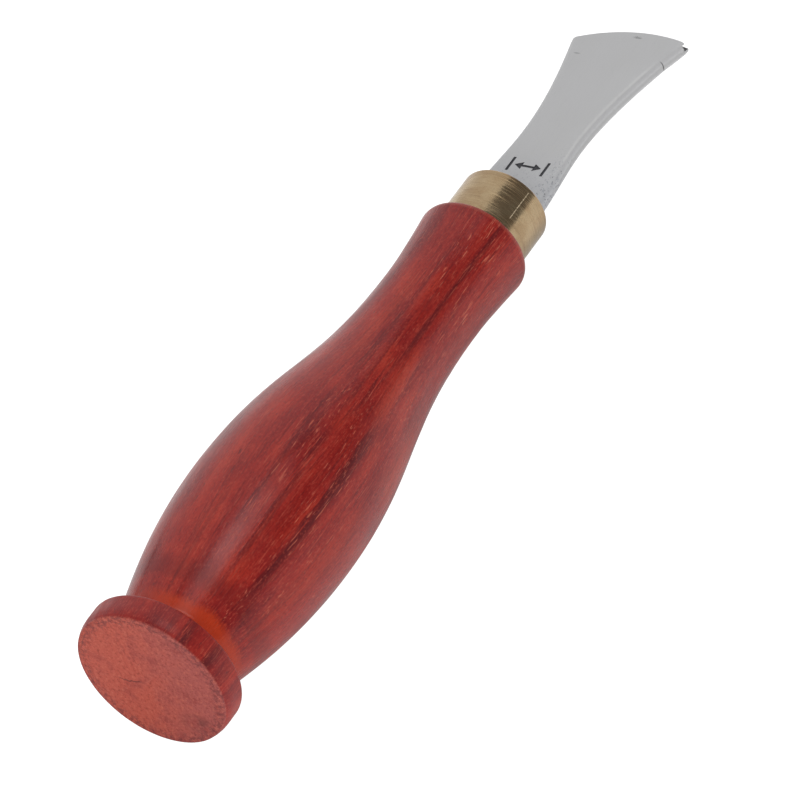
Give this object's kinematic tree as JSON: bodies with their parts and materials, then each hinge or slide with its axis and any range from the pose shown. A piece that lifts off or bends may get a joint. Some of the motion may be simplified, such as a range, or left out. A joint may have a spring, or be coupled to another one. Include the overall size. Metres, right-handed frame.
{
  "type": "edge creaser",
  "caption": "Hand edge creaser for leather and bookbinding: turned hardwood handle, brass ferrule and a flared steel head with a curved, grooved working edge.",
  "frame": {"origin": "centre of the handle's flat butt face", "axes": "+X along the handle towards the working edge, the head flat in the XY plane, +Z out of the face that carries the size mark, and +Y to the side where the head's shorter corner is"},
  "size_m": [0.1579, 0.0286, 0.0286],
  "materials": {
    "handle_wood": "turned red-stained hardwood, satin oil finish",
    "ferrule_brass": "satin, turned",
    "blade_steel": "fine satin, bead blasted",
    "glue": "cured epoxy"
  },
  "bodies": {
    "root": {"handle": "handle_wood", "ferrule": "ferrule_brass", "blade": "blade_steel", "tang_glue": "glue"}
  },
  "joints": []
}
